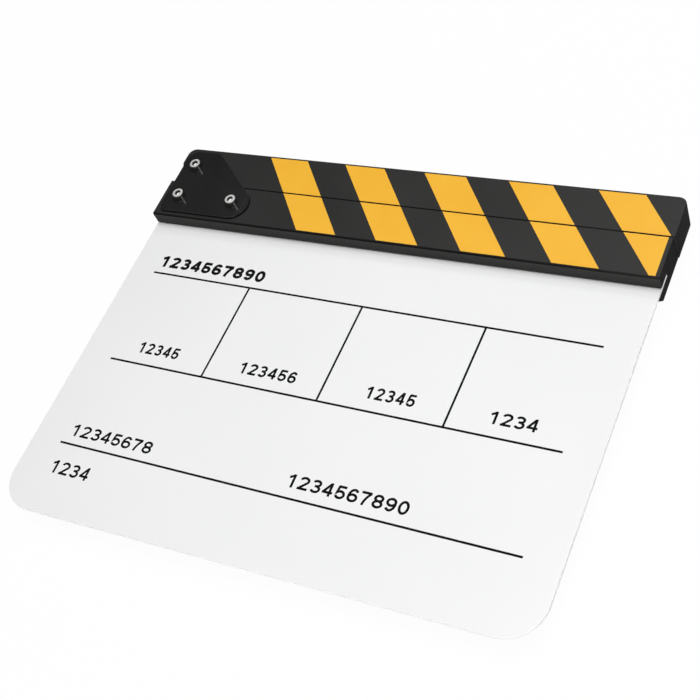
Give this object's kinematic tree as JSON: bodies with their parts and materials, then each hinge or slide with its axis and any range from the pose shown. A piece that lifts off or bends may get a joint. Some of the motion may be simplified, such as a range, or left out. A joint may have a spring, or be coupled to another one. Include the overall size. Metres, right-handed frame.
{
  "type": "clapperboard",
  "caption": "Film clapperboard: white writing board let into a fixed striped stick, with a hinged clapper stick on top.",
  "frame": {"origin": "middle of the board's bottom edge, where the board stands", "axes": "+X to the right seen from the front, +Y from the bottom edge towards the sticks, +Z out of the written front, so the part lies on its back"},
  "size_m": [0.3013, 0.2406, 0.029],
  "materials": {
    "white_acrylic": "smooth white acrylic sheet",
    "black_stick": "satin black",
    "gloss_plate": "semi-gloss black",
    "yellow_foil": "satin yellow foil",
    "bright_steel": "bright plated",
    "black_steel": "black oxide",
    "brass_sleeve": "turned",
    "nylon": "natural"
  },
  "bodies": {
    "slate": {"board": "white_acrylic", "lower_stick": "black_stick", "front_hinge_plate": "gloss_plate", "rear_hinge_plate": "gloss_plate", "pivot_screw": "bright_steel", "plate_screws": "bright_steel", "pivot_lock_nut": "bright_steel", "plate_lock_nuts": "bright_steel", "board_screws": "black_steel", "pivot_sleeve": "brass_sleeve", "lower_stripe_1": "yellow_foil", "lower_stripe_2": "yellow_foil", "lower_stripe_3": "yellow_foil", "lower_stripe_4": "yellow_foil", "lower_stripe_5": "yellow_foil"},
    "clapper": {"upper_stick": "black_stick", "front_slip_washer": "nylon", "rear_slip_washer": "nylon", "upper_stripe_1": "yellow_foil", "upper_stripe_2": "yellow_foil", "upper_stripe_3": "yellow_foil", "upper_stripe_4": "yellow_foil", "upper_stripe_5": "yellow_foil"}
  },
  "joints": [
    {"name": "clap_hinge", "type": "hinge", "parent": "slate", "child": "clapper", "pos_m": [-0.1356, 0.2251, 0], "axis": [0, 0, 1], "range_deg": [0, 62]}
  ]
}
